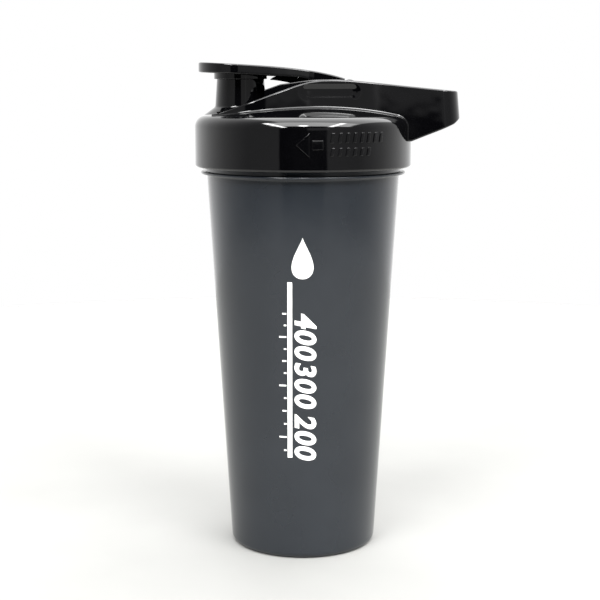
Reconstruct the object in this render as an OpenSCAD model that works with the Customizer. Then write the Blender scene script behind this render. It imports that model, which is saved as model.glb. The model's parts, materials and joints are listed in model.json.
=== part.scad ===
// Protein shaker bottle: a tapered cup, a screw-on lid with a drinking spout,
// a flip cap that swings between two handle arms, and a mixing rod that hangs
// from the lid. Millimetres, +Z up, the cup's axis on Z and its foot at z = 0.
// The spout is towards -X and the carry loop towards +X.

/* [Cup] */
// Outer radius of the cup at its foot
cup_base_r = 34; // [26:0.5:42]
// Outer radius of the cup just below its flange
cup_top_r = 44.4; // [36:0.2:54]
// Height of the tapered wall
cup_body_h = 173.6; // [130:1:215]
// Thickness of the cup's wall
cup_wall = 1.9; // [1.4:0.1:2.6]
// Thickness of the cup's floor
cup_floor = 2; // [1.5:0.1:3]
// Radius of the foot's outer corner
foot_corner = 3; // [1.5:0.1:5]
// Width of the flat ring that the cup stands on
foot_ring = 3.5; // [2:0.1:6]
// Height of the hollow under the floor
foot_hollow = 1.5; // [0.8:0.1:2.5]

/* [Neck] */
// How far the flange stands out from the neck
flange_out = 2.1; // [1.2:0.1:2.2]
// Thickness of the flange's edge
flange_t = 1.2; // [0.8:0.1:2]
// Height of the fillet under the flange
flange_fillet = 1.8; // [1:0.1:3]
// How far the neck stands out from the top of the tapered wall
neck_step = 0.8; // [0.4:0.1:1.2]
// Height of the neck above the flange
neck_h = 20.6; // [19:0.2:25]

/* [Screw thread] */
// Rise of the thread in one turn
thread_pitch = 5; // [4.6:0.1:6]
// Turns of thread on each side, which is also the travel of the lid
thread_turns = 1.25; // [1:0.05:1.4]
// Height of a ridge above its wall
thread_depth = 1.9; // [1.4:0.1:2.4]
// Gap between a crest and the opposite wall
thread_gap = 0.5; // [0.35:0.05:0.8]
// Width of a ridge at its crest
thread_crest = 1.2; // [0.9:0.1:1.4]
// Width of a ridge at its root
thread_root = 2.2; // [1.8:0.1:2.3]

/* [Lid] */
// Thickness of the lid's skirt
lid_wall = 2.4; // [1.8:0.1:3.2]
// Gap between the flange and the bottom of the skirt
lid_gap = 2; // [1:0.1:3]
// Radius of the skirt's bottom edge
hem_r = 1.2; // [1:0.1:2.4]
// Radius of the shoulder between skirt and dome
shoulder_r = 5.5; // [3.5:0.1:7]
// Height from the gasket's seat to the top of the shoulder
lid_roof = 3.2; // [2.6:0.1:4]
// Radius of the sphere that the dome is part of
dome_r = 193; // [140:1:300]
// Thickness of the dome
dome_wall = 2.4; // [1.8:0.1:3]
// Depth of the lip that reaches into the cup's mouth
lip_h = 6; // [3:0.2:9]
// Thickness of that lip
lip_wall = 2; // [1.4:0.1:2.6]
// Gap between that lip and the cup's mouth
lip_gap = 0.7; // [0.4:0.1:1.2]

/* [Gasket] */
// Thickness of the sealing ring
gasket_t = 1.8; // [1.2:0.1:2.6]
// Gap on either side of the ring
gasket_gap = 0.3; // [0.3:0.05:0.5]

/* [Spout] */
// Outer radius at the spout's mouth
spout_r = 10.85; // [9:0.05:13]
// How much wider the spout is where it meets its foot
spout_draft = 0.9; // [0.3:0.1:1.6]
// Thickness of the spout's wall
spout_wall = 2; // [1.5:0.1:2.6]
// Height of the mouth above the top of the dome
spout_h = 11.8; // [9:0.2:16]
// Width of the sloping foot around the spout
spout_foot = 5.3; // [3:0.1:6]
// How far below the top of the dome that foot begins
spout_drop = 1.7; // [0:0.1:3]

/* [Flip cap] */
// Radius of the cap's round end, measured from the spout's axis
cap_r = 19.3; // [16:0.1:23]
// Half width of the cap's neck, between the handle's arms
cap_neck = 12; // [9:0.2:14]
// Thickness of the cap's round end
cap_t = 4.6; // [3.6:0.1:6]
// Thickness of the skin over the hollow in its underside
cap_skin = 1.9; // [1.4:0.1:2.4]
// Slope of the cap's underside, in degrees
cap_slope = 2.8; // [1:0.1:4]
// Wall of the collar that closes around the spout
collar_wall = 0.9; // [0.7:0.1:1.4]
// Gap between the collar and the spout
collar_gap = 0.45; // [0.35:0.05:0.7]
// How far the collar reaches below the spout's mouth
collar_drop = 1; // [0.5:0.1:1.6]
// Radius of the knuckle around the hinge axis
knuckle_r = 3.9; // [3.6:0.1:5]
// Radius of the two trunnions
trunnion_r = 2.2; // [1.6:0.1:3]
// Length of a trunnion inside its socket
trunnion_len = 3; // [2:0.1:4]
// Distance from the spout's axis to the hinge axis
hinge_setback = 49.6; // [42:0.2:58]
// Height of the hinge axis above the top of the dome
hinge_h = 6.8; // [6.2:0.1:9]

/* [Spout seal] */
// Thickness of the seal's flange
seal_t = 1.6; // [1:0.1:2.2]
// Depth of the plug in the spout's mouth
plug_h = 3.8; // [2:0.1:5]
// Wall of the hollow plug
plug_wall = 1.6; // [1:0.1:2.4]
// Gap between plug and spout, which lets the plug swing out
plug_gap = 0.5; // [0.45:0.05:0.8]
// Gap between the seal's flange and the spout's mouth
seal_gap = 0.1; // [0.05:0.05:0.3]

/* [Carry handle] */
// Greatest half width across the two arms
arm_half_w = 28.5; // [25:0.5:32]
// Half width of the loop
loop_half_w = 16; // [15:0.5:20]
// How far the loop reaches past the lid's skirt
loop_reach = 21; // [18:0.5:28]
// Radius of the loop's two outer corners
loop_corner = 9; // [5:0.5:12]
// Thickness of the arm's wall and of the loop
arm_wall = 3.4; // [2.6:0.1:3.6]
// Height of the arm's crest above the top of the dome
arm_crest_h = 10.6; // [10:0.2:14]
// Height of the loop's end, top to bottom
loop_end_h = 14.4; // [10:0.2:18]
// Thickness of the cheek on each side of the cap's neck
cheek_w = 3.6; // [3:0.1:4.5]
// Gap between the cap's neck and a cheek
cheek_gap = 0.6; // [0.4:0.1:1]
// How much higher the cheek's front end is than the arm's edge
cheek_rise = 3.1; // [0:0.1:3.6]
// Length of the oval recess in the arm's outer face
recess_len = 27; // [16:1:30]
// Height of the oval recess
recess_h = 7.4; // [5:0.2:8]
// Depth of the oval recess
recess_depth = 1.1; // [0.6:0.1:1.6]

/* [Mixing rod] */
// Radius of the rod
rod_r = 2.6; // [2:0.1:3.4]
// Height of the rod's lower end above the cup's floor
rod_clear = 14; // [8:1:40]
// Radius of the rod's journal in its socket
journal_r = 4; // [3.4:0.1:5]
// Length of the journal
journal_len = 13; // [11:0.5:16]
// How far the snap bead stands out of the journal
bead_out = 0.5; // [0.3:0.05:0.7]
// Wall of the socket under the dome
socket_wall = 2.6; // [2:0.1:3.4]
// Number of tiers of prongs on the mixing head
tiers = 3; // [2:1:4]
// Number of prongs in a tier
prongs = 4; // [3:1:6]
// Distance between tiers
tier_step = 13; // [9:1:18]
// Length of a prong from the axis
prong_len = 19; // [14:0.5:22]
// Radius of a prong
prong_r = 1.7; // [1.2:0.1:2.2]
// Wall of the sleeve that carries the prongs
sleeve_wall = 2; // [1.4:0.1:3]

/* [Fits] */
// Radial clearance of a running fit, in the hinge and the rod's socket
run_gap = 0.05; // [0.02:0.01:0.1]
// Clearance of a snap bead in its groove
bead_gap = 0.3; // [0.3:0.05:0.5]

/* [Hidden] */
$fn = 96;

cup_colour = "#4b4d51";
lid_colour = "#1b1c1e";
seal_colour = "#2e2f31";
mixer_colour = "#3a3b3e";

// Heights, stacked from the foot to the cap
flange_z = cup_body_h + flange_fillet;
neck_z = flange_z + flange_t;
rim_z = neck_z + neck_h;
seat_z = rim_z + gasket_t;
shoulder_z = seat_z + lid_roof;
skirt_top_z = shoulder_z - shoulder_r;
skirt_z = neck_z + lid_gap;

// Radii of the neck and of the lid around it
taper = (cup_top_r - cup_base_r) / cup_body_h;
neck_r = cup_top_r + neck_step;
mouth_r = neck_r - cup_wall;
flange_r = neck_r + flange_out;
lid_bore_r = neck_r + thread_depth + thread_gap;
lid_r = lid_bore_r + lid_wall;
lip_r = mouth_r - lip_gap;

// The thread: degrees between its sections, degrees over which an end fades
// into the wall, how deep it sinks there, and the height of its lower end
thread_step = 7.5;
thread_fade = 30;
thread_sink = 0.4;
thread_lead = 5.2;
thread_z = rim_z - thread_lead - thread_pitch * thread_turns;

// The dome starts on the shoulder, where both have the same slope
shoulder_x = lid_r - shoulder_r;
dome_tilt = asin(shoulder_x / (dome_r - shoulder_r));
dome_edge_r = dome_r * sin(dome_tilt);
dome_edge_z = skirt_top_z + shoulder_r * cos(dome_tilt);
dome_centre_z = dome_edge_z - dome_r * cos(dome_tilt);
dome_z = dome_centre_z + dome_r;

// Spout, hinge and cap
spout_foot_r = spout_r + spout_draft;
spout_x = -(dome_edge_r - spout_foot_r - spout_foot);
spout_z = dome_z + spout_h;
spout_bore_r = spout_r - spout_wall;
hinge_x = spout_x + hinge_setback;
hinge_z = dome_z + hinge_h;
seal_z = spout_z + seal_gap;
cap_under_z = seal_z + seal_t - 0.6;
collar_r = spout_r + collar_gap;
plug_r = spout_bore_r - plug_gap;

// Handle
channel_w = cap_neck + cheek_gap;
cheek_out = channel_w + cheek_w;
cheek_back = hinge_x + knuckle_r + 1;
crest_z = dome_z + arm_crest_h;
tip_x = -(dome_edge_r - 2.3);
tip_y = 17;
widest_x = spout_x + 9;
loop_x = lid_r + loop_reach;
loop_top_z = crest_z - 5.1;
loop_foot_z = skirt_top_z - 6.2;
arm_rise = tan(19.5);

// Mixer
socket_r = journal_r + run_gap;
socket_roof = 1.6;
socket_top_z = dome_z - dome_wall - socket_roof;
socket_z = socket_top_z - journal_len;
bead_z = socket_z + 0.6 * journal_len;
bead_h = 1.6;
rod_z = foot_hollow + cup_floor + rod_clear;
sleeve_r = rod_r + sleeve_wall;
sleeve_end = 2;
sleeve_len = (tiers - 1) * tier_step + 4 * prong_r + 2 * sleeve_end;

big = 400;

// Points along an arc, from angle a to angle b
function arc(x, z, r, a, b, n = 12) =
    [for (i = [0 : n]) let (t = a + (b - a) * i / n) [x + r * cos(t), z + r * sin(t)]];

// Points along a cubic curve, without its first point
function curve(p, q, r, s, n = 14) =
    [for (i = [1 : n]) let (t = i / n, u = 1 - t)
        u * u * u * p + 3 * u * u * t * q + 3 * u * t * t * r + t * t * t * s];

// A solid of constant outline in the X-Z plane, centred on Y
module side_slab(points, half_w) {
    rotate([90, 0, 0])
        translate([0, 0, -half_w])
            linear_extrude(2 * half_w)
                polygon(points);
}

module y_rod(x, z, r, half_len) {
    translate([x, 0, z])
        rotate([90, 0, 0])
            translate([0, 0, -half_len])
                cylinder(r = r, h = 2 * half_len);
}

// One helical ridge: a trapezium that follows a helix and sinks into its wall
// at both ends. wall is the radius it grows from, dir is 1 outwards and -1
// inwards, and z is the height of its lower end.
function ridge_height(a) =
    let (e = min(a, 360 * thread_turns - a) / thread_fade)
    min(1, e) * (thread_depth + thread_sink) - thread_sink;
function ridge_ring(a, wall, dir, z) =
    let (h = ridge_height(a), zc = z + thread_pitch * a / 360, foot = -thread_sink - 0.1)
    [for (p = [[foot, -thread_root], [foot, thread_root], [h, thread_crest], [h, -thread_crest]])
        [(wall + dir * p[0]) * cos(a), (wall + dir * p[0]) * sin(a), zc + p[1] / 2]];

module thread_ridge(wall, dir, z) {
    n = round(360 * thread_turns / thread_step);
    points = [for (i = [0 : n]) each ridge_ring(i * thread_step, wall, dir, z)];
    sides = [for (i = [0 : n - 1], k = [0 : 3], half = [0, 1])
        let (a = 4 * i + k, b = 4 * i + (k + 1) % 4, c = b + 4, d = a + 4)
        half == 0 ? [a, b, c] : [a, c, d]];
    ends = [[3, 2, 1], [3, 1, 0], [4 * n, 4 * n + 1, 4 * n + 2], [4 * n, 4 * n + 2, 4 * n + 3]];
    faces = concat(sides, ends);
    polyhedron(points, dir > 0 ? [for (f = faces) [f[2], f[1], f[0]]] : faces);
}

// ---- Cup ----
module cup_shape() {
    slope = atan(taper);
    rim_edge = 0.6;
    mouth_edge = 0.4;
    outer_foot = arc(cup_base_r + taper * foot_corner - foot_corner / cos(slope), foot_corner,
                     foot_corner, -90, -slope, 8);
    fillet = arc(flange_r, cup_body_h, flange_fillet, 180, 90, 6);
    inner_corner = 5;
    inner_r = cup_base_r - cup_wall + taper * (foot_hollow + cup_floor + inner_corner);
    polygon(concat(
        [[0, foot_hollow], [outer_foot[0][0] - foot_ring - 1, foot_hollow],
         [outer_foot[0][0] - foot_ring, 0]],
        outer_foot,
        [[cup_top_r, cup_body_h]],
        [for (p = fillet) [flange_r - (flange_r - p[0]) * (flange_r - cup_top_r) / flange_fillet,
                           p[1]]],
        [[flange_r, neck_z], [neck_r, neck_z], [neck_r, rim_z - rim_edge],
         [neck_r - rim_edge, rim_z], [mouth_r + mouth_edge, rim_z],
         [mouth_r, rim_z - mouth_edge], [mouth_r, neck_z],
         [cup_top_r - cup_wall, cup_body_h]],
        arc(inner_r - inner_corner, foot_hollow + cup_floor + inner_corner, inner_corner,
            -slope, -90, 8),
        [[0, foot_hollow + cup_floor]]));
}

module cup() {
    color(cup_colour) {
        rotate_extrude()
            cup_shape();
        thread_ridge(neck_r, 1, thread_z);
    }
}

// ---- Lid ----
function dome_points(grow, from, to) =
    arc(0, dome_centre_z, dome_r + grow, 90 - from, 90 - to, 14);

// The lid's outside as one filled body, without its spout
module lid_outside() {
    rotate_extrude()
        polygon(concat(
            [[0, skirt_z]],
            arc(lid_r - hem_r, skirt_z + hem_r, hem_r, -90, 0, 6),
            arc(shoulder_x, skirt_top_z, shoulder_r, 0, 90 - dome_tilt, 12),
            [for (i = [1 : 14]) dome_points(0, dome_tilt, 0)[i]]));
}

// The spout's outside, with the sloping foot that carries it on the dome; spread is the foot's run per fall
module spout_outside() {
    sink = 2 * spout_foot;
    spread = 1.4;
    translate([spout_x, 0, dome_z - spout_drop]) {
        cylinder(r1 = spout_foot_r, r2 = spout_r, h = spout_h + spout_drop);
        translate([0, 0, -sink])
            cylinder(r1 = spout_foot_r + spread * sink, r2 = spout_foot_r, h = sink);
    }
}

// The hollow inside the lid: bore, gasket seat, lip and the dome's underside
module lid_hollow() {
    inside_r = lip_r - lip_wall;
    inside_tilt = asin(inside_r / (dome_r - dome_wall));
    rotate_extrude()
        polygon(concat(
            [[0, skirt_z - 1], [lid_bore_r, skirt_z - 1], [lid_bore_r, seat_z], [lip_r, seat_z],
             [lip_r, seat_z - lip_h], [inside_r, seat_z - lip_h]],
            dome_points(-dome_wall, inside_tilt, 0)));
}

module lid_shell() {
    color(lid_colour) {
        difference() {
            union() {
                difference() {
                    union() {
                        lid_outside();
                        intersection() {
                            spout_outside();
                            translate([0, 0, seat_z])
                                cylinder(r = dome_edge_r + 0.4, h = big);
                        }
                    }
                    lid_hollow();
                }
                translate([0, 0, socket_z])
                    cylinder(r = socket_r + socket_wall, h = dome_z - 1 - socket_z);
            }
            translate([spout_x, 0, seat_z])
                cylinder(r = spout_bore_r, h = big);
            translate([0, 0, socket_z - 1])
                cylinder(r = socket_r, h = journal_len + 1);
            translate([0, 0, bead_z - bead_gap])
                cylinder(r = journal_r + bead_out + bead_gap, h = bead_h + 2 * bead_gap);
        }
        thread_ridge(lid_bore_r, -1, thread_z - thread_pitch / 2);
    }
}

module lid_gasket() {
    color(seal_colour)
        translate([0, 0, rim_z])
            difference() {
                cylinder(r = lid_bore_r - gasket_gap, h = gasket_t);
                translate([0, 0, -1])
                    cylinder(r = lip_r + gasket_gap, h = gasket_t + 2);
            }
}

// ---- Carry handle ----
// Half of the handle's outline seen from above, from the arm's tip to the loop's end
function handle_half() =
    let (tip = [tip_x, tip_y], widest = [widest_x, arm_half_w],
         loop = [lid_r, loop_half_w], turn = loop_x - loop_corner)
    concat(
        [tip],
        curve(tip, tip + [3, 6], widest - [10, 0], widest, 12),
        curve(widest, widest + [22, 0], loop - [26, -1.6], loop, 18),
        arc(turn, loop_half_w - loop_corner, loop_corner, 90, 0, 10));

module handle_outline() {
    half = handle_half();
    n = len(half);
    polygon(concat(half, [for (i = [n - 1 : -1 : 0]) [half[i][0], -half[i][1]]]));
}

// The arm's top edge seen from the side, from its tip to the loop's end
crest_x = hinge_x - 7.5;
knee = [hinge_x - 29, crest_z - 4.4];
arm_top = concat(
    [[tip_x - 3, knee[1] - (knee[0] - tip_x + 3) * arm_rise], knee],
    curve(knee, knee + [7, 7 * arm_rise], [crest_x - 8.5, crest_z], [crest_x, crest_z], 10),
    curve([crest_x, crest_z], [crest_x + 11.5, crest_z], [loop_x - 26, loop_top_z + 2],
          [loop_x, loop_top_z], 12));

module arm_side(half_w) {
    corner = 3;
    side_slab(concat(
        [[tip_x - 3, loop_foot_z]],
        arm_top,
        [[loop_x, loop_top_z - loop_end_h + corner],
         [loop_x - corner, loop_top_z - loop_end_h - 0.4],
         [lid_r - 1, loop_foot_z]]), half_w);
}

// The cheek's top edge: above the arm's edge in front, and under the cap's plate
cheek_x = spout_x + spout_foot_r - 0.4;
cheek_top = concat(
    [[cheek_x, knee[1] - (knee[0] - cheek_x) * arm_rise + cheek_rise]],
    curve(knee + [-2, cheek_rise - 2 * arm_rise], knee + [3, cheek_rise - 0.3],
          [crest_x - 12, crest_z], [crest_x - 4, crest_z], 10));

module cheek_side() {
    back_drop = 1.2;
    side_slab(concat([[cheek_x, loop_foot_z]], cheek_top,
                     [[cheek_back, crest_z - back_drop], [cheek_back, loop_foot_z]]), cheek_out);
}

// The oval of the recess, seen from the side
module recess_side() {
    r = recess_h / 2;
    x0 = hinge_x + 4.5 - recess_len + r;
    z = dome_z + 1.6 + r;
    hull() {
        y_rod(x0, z, r, big);
        y_rod(x0 + recess_len - 2 * r, z, r, big);
    }
}

module carry_handle() {
    pocket_end = 0.3;
    color(lid_colour)
        difference() {
            union() {
                intersection() {
                    arm_side(big);
                    linear_extrude(big)
                        union() {
                            difference() {
                                handle_outline();
                                offset(delta = -arm_wall)
                                    handle_outline();
                            }
                            intersection() {
                                handle_outline();
                                translate([cheek_x, -big])
                                    square([cheek_back - cheek_x, 2 * big]);
                            }
                        }
                }
                cheek_side();
            }
            // the channel that the cap's neck swings in
            translate([cheek_x - 1, -channel_w, 0])
                cube([cheek_back - cheek_x + 2, 2 * channel_w, big]);
            intersection() {
                recess_side();
                linear_extrude(big)
                    difference() {
                        offset(delta = 5)
                            handle_outline();
                        offset(delta = -recess_depth)
                            handle_outline();
                    }
            }
            y_rod(hinge_x, hinge_z, trunnion_r + run_gap,
                  cap_neck + cheek_gap + trunnion_len + pocket_end);
            lid_outside();
            spout_outside();
        }
}

// ---- Flip cap ----
module cap_outline(shrink = 0) {
    union() {
        translate([spout_x, 0])
            circle(r = cap_r - shrink);
        polygon([[spout_x, cap_r - shrink], [cap_neck_x, cap_neck - shrink],
                 [hinge_x, cap_neck - shrink], [hinge_x, -cap_neck + shrink],
                 [cap_neck_x, -cap_neck + shrink], [spout_x, -cap_r + shrink]]);
    }
}

cap_tip_x = spout_x - cap_r;
cap_neck_x = hinge_x - 17;
cap_swell = 5.9;
function cap_under(x) = cap_under_z - (x - spout_x) * tan(cap_slope);
cap_top_z = cap_under(cap_tip_x) + cap_t;
cap_top = concat(
    [[cap_tip_x, cap_top_z]],
    curve([cap_tip_x, cap_top_z], [cap_tip_x + 26, cap_top_z - 1.4],
          [cap_neck_x, hinge_z + knuckle_r + cap_swell],
          [hinge_x + knuckle_r * sin(-10), hinge_z + knuckle_r * cos(-10)], 20));

// The cap seen from the side: its plate, its neck and the top of its knuckle
module cap_side() {
    under_end = hinge_x - 22;
    side_slab(concat(
        [[cap_tip_x, cap_under(cap_tip_x)]],
        cap_top,
        arc(hinge_x, hinge_z, knuckle_r, 100, 180, 6),
        [[under_end, cap_under(under_end)]]), big);
}

// The tongue under the cap that runs back to the knuckle, with a curved nose
module cap_tongue() {
    nose = [hinge_x - 36, hinge_z + 3.7];
    top = [hinge_x - 30, cap_under(hinge_x - 30) + 0.6];
    side_slab(concat(
        [nose],
        curve(nose, nose + [2, 1.8], top - [3, 0.4], top, 6),
        [[hinge_x - 4, hinge_z + knuckle_r - 2], [hinge_x, hinge_z],
         [hinge_x, hinge_z - knuckle_r]],
        curve([hinge_x, hinge_z - knuckle_r], [hinge_x - 12, hinge_z - knuckle_r],
              nose + [14, -0.9], nose, 12)), cap_neck - 3);
}

module flip_cap() {
    hollow_end = hinge_x - 24;
    color(lid_colour)
        difference() {
            union() {
                difference() {
                    intersection() {
                        cap_side();
                        linear_extrude(big)
                            cap_outline();
                    }
                    // the hollow in the plate's underside
                    intersection() {
                        translate([0, 0, -cap_skin])
                            cap_side();
                        linear_extrude(big)
                            intersection() {
                                cap_outline(cap_skin);
                                translate([cap_tip_x, -big])
                                    square([hollow_end - cap_tip_x, 2 * big]);
                            }
                    }
                }
                translate([spout_x, 0, spout_z - collar_drop])
                    cylinder(r = collar_r + collar_wall, h = cap_t);
                cap_tongue();
                y_rod(hinge_x, hinge_z, knuckle_r, cap_neck);
                y_rod(hinge_x, hinge_z, trunnion_r, cap_neck + cheek_gap + trunnion_len);
            }
            translate([spout_x, 0, spout_z - collar_drop - 1])
                cylinder(r = collar_r, h = collar_drop + 1 + seal_gap + seal_t);
        }
}

module spout_seal() {
    color(seal_colour)
        translate([spout_x, 0, 0])
            difference() {
                union() {
                    translate([0, 0, seal_z])
                        cylinder(r = collar_r - 0.15, h = seal_t);
                    translate([0, 0, spout_z - plug_h])
                        cylinder(r = plug_r, h = plug_h + seal_gap + seal_t / 2);
                }
                translate([0, 0, spout_z - plug_h - 1])
                    cylinder(r = plug_r - plug_wall, h = plug_h + 1);
            }
}

// ---- Mixer ----
module mixing_rod() {
    shoulder = 1.5;
    collar = 1.2;
    end_gap = 0.4;
    color(mixer_colour) {
        translate([0, 0, rod_z])
            cylinder(r = rod_r, h = socket_z - rod_z);
        translate([0, 0, socket_z - shoulder])
            cylinder(r = journal_r, h = journal_len + shoulder - end_gap);
        translate([0, 0, bead_z])
            cylinder(r = journal_r + bead_out, h = bead_h);
        translate([0, 0, socket_z - shoulder - collar])
            cylinder(r = journal_r + 1.6, h = collar);
    }
}

module mixing_head() {
    low = rod_z + 1.5;
    color(mixer_colour)
        difference() {
            union() {
                translate([0, 0, low])
                    cylinder(r = sleeve_r, h = sleeve_len);
                for (t = [0 : tiers - 1], p = [0 : prongs - 1])
                    translate([0, 0, low + sleeve_end + 2 * prong_r + t * tier_step])
                        rotate([0, 90, (p + t / 2) * 360 / prongs])
                            union() {
                                cylinder(r = prong_r, h = prong_len - prong_r);
                                translate([0, 0, prong_len - prong_r])
                                    sphere(r = prong_r);
                            }
            }
            translate([0, 0, low - 1])
                cylinder(r = rod_r, h = sleeve_len + 2);
        }
}

cup();
lid_shell();
carry_handle();
flip_cap();
spout_seal();
lid_gasket();
mixing_rod();
mixing_head();
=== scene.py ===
# %% [markdown]
# # A protein shaker bottle in Blender
# The bottle is a tapered cup, a screw-on lid with a spout, a carry loop whose two arms run along the lid, and
# a flip cap that swings between the arms. The mechanical model is loaded first as a fixed frame. Each visible
# piece is then modelled over it, at the same size, and rides on the body that it belongs to.

# %% Load the frame
import json
from math import asin, cos, hypot, pi, radians, sin, sqrt, tan

import bpy
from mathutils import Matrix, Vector


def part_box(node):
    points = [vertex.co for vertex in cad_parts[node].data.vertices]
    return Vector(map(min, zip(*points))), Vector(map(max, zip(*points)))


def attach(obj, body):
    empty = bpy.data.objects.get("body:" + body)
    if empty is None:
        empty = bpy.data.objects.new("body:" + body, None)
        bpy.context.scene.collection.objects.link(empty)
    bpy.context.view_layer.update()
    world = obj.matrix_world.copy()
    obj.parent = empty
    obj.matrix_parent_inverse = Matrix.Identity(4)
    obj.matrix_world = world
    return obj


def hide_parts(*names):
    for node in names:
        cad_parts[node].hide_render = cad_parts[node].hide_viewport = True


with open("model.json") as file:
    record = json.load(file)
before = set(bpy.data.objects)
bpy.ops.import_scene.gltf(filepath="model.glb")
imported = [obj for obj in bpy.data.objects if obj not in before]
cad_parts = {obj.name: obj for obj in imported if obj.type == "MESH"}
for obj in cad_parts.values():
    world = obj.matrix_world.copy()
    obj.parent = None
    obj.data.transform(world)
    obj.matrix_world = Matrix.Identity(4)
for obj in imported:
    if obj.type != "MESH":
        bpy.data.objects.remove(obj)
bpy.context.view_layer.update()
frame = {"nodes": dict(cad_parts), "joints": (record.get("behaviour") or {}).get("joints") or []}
print("nodes:", sorted(frame["nodes"]))

# %% [markdown]
# ## Sizes
# Places and sizes come from the frame wherever a node's box gives them. They are turned to millimetres, which
# is what a bottle maker works in, and every point goes back to metres as it is placed. What a box can't say,
# such as a wall or a fillet, is a named value in the cell that first needs it.

# %% Sizes from the frame
MM = 0.001


def node_box(node):
    low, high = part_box(node)
    return [v / MM for v in low], [v / MM for v in high]


_, cup_high = node_box("cup")
lid_low, lid_high = node_box("lid_shell")
handle_low, handle_high = node_box("carry_handle")
cap_low, cap_high = node_box("flip_cap")
seal_low, seal_high = node_box("spout_seal")
_, gasket_high = node_box("lid_gasket")
rod_low, rod_high = node_box("mixing_rod")
head_low, head_high = node_box("mixing_head")

flange_r, rim_z = cup_high[0], cup_high[2]
lid_r, skirt_z, spout_z = lid_high[1], lid_low[2], lid_high[2]
loop_x, arm_half_w, crest_z = handle_high[0], handle_high[1], handle_high[2]
loop_foot_z = handle_low[2]
cap_tip_x, cap_r, cap_top_z = cap_low[0], cap_high[1], cap_high[2]
spout_x = (seal_low[0] + seal_high[0]) / 2
seal_r = (seal_high[0] - seal_low[0]) / 2
seat_z = gasket_high[2]
hinge = next(j for j in frame["joints"] if j["name"] == "cap_hinge")
hinge_x, hinge_z = hinge["pos_m"][0] / MM, hinge["pos_m"][2] / MM
print(f"rim {rim_z:.1f}, lid radius {lid_r:.1f}, loop end {loop_x:.1f}, hinge {hinge_x:.1f} {hinge_z:.1f}")

# %% [markdown]
# ## Outlines
# A moulded bottle is drawn as outlines with rounded corners. These small functions give an arc, a cubic
# curve, and an outline whose corners carry their own radius, so that no edge on the bottle is left knife
# sharp.


# %% Outline functions
def arc(x, z, r, start, end, steps=10):
    turns = [radians(start + (end - start) * i / steps) for i in range(steps + 1)]
    return [(x + r * cos(t), z + r * sin(t)) for t in turns]


def cubic(p, q, r, s, steps=24):
    points = []
    for i in range(steps + 1):
        t = i / steps
        u = 1 - t
        weights = (u ** 3, 3 * u * u * t, 3 * u * t * t, t ** 3)
        points.append(tuple(sum(w * c[k] for w, c in zip(weights, (p, q, r, s))) for k in (0, 1)))
    return points


def softened(corners, steps=5):
    """An outline from corners (x, z) or (x, z, radius)."""
    points = []
    for i, corner in enumerate(corners):
        here = Vector(corner[:2])
        if len(corner) < 3 or i in (0, len(corners) - 1):
            points.append(tuple(here))
            continue
        back = Vector(corners[i - 1][:2]) - here
        ahead = Vector(corners[i + 1][:2]) - here
        half = back.angle(ahead) / 2
        reach = min(corner[2] / tan(half), 0.49 * back.length, 0.49 * ahead.length)
        a, b = here + back.normalized() * reach, here + ahead.normalized() * reach
        middle = here + (back.normalized() + ahead.normalized()).normalized() * (reach / cos(half))
        from_a, from_b = a - middle, b - middle
        spread = from_a.angle(from_b)
        for k in range(steps + 1):
            w = k / steps
            mix = (from_a * sin((1 - w) * spread) + from_b * sin(w * spread)) / sin(spread)
            points.append(tuple(middle + mix))
    return points


def height(points, x):
    """The height at x of an outline that runs in rising x."""
    if x <= points[0][0]:
        return points[0][1]
    for (x0, z0), (x1, z1) in zip(points, points[1:]):
        if x <= x1:
            return z0 + (z1 - z0) * (x - x0) / (x1 - x0)
    return points[-1][1]


def smooth(x, low, high):
    t = min(1, max(0, (x - low) / (high - low)))
    return t * t * (3 - 2 * t)


print("a softened square corner:", len(softened([(0, 0), (1, 0, 0.3), (1, 1)])), "points")

# %% [markdown]
# ## Making pieces
# Four ways of making a piece cover the whole bottle. A turned piece starts as a circle that is extruded and
# resized from ring to ring, as a lathe or a round mould gives it. A slab is an outline that is filled and
# extruded. A bar is a cylinder with bevelled ends. A wrapped grid is a flat grid whose crossings are laid on
# the curved faces of the handle and the cap, which no single extrusion follows.


# %% Modelling functions
def pick(piece):
    if bpy.context.mode != "OBJECT":
        bpy.ops.object.mode_set(mode="OBJECT")
    bpy.ops.object.select_all(action="DESELECT")
    piece.select_set(True)
    bpy.context.view_layer.objects.active = piece


def open_edit(piece, action="SELECT"):
    """Edit mode with every point selected, or none with the action DESELECT."""
    pick(piece)
    bpy.ops.object.mode_set(mode="EDIT")
    bpy.ops.mesh.select_mode(type="VERT")
    bpy.ops.mesh.select_all(action=action)


def close_edit():
    bpy.ops.object.mode_set(mode="OBJECT")


def weld(piece, distance=0.002):
    """Merges points that lie together and turns every face outwards."""
    open_edit(piece)
    bpy.ops.mesh.remove_doubles(threshold=distance * MM)
    bpy.ops.mesh.normals_make_consistent(inside=False)
    close_edit()


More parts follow.
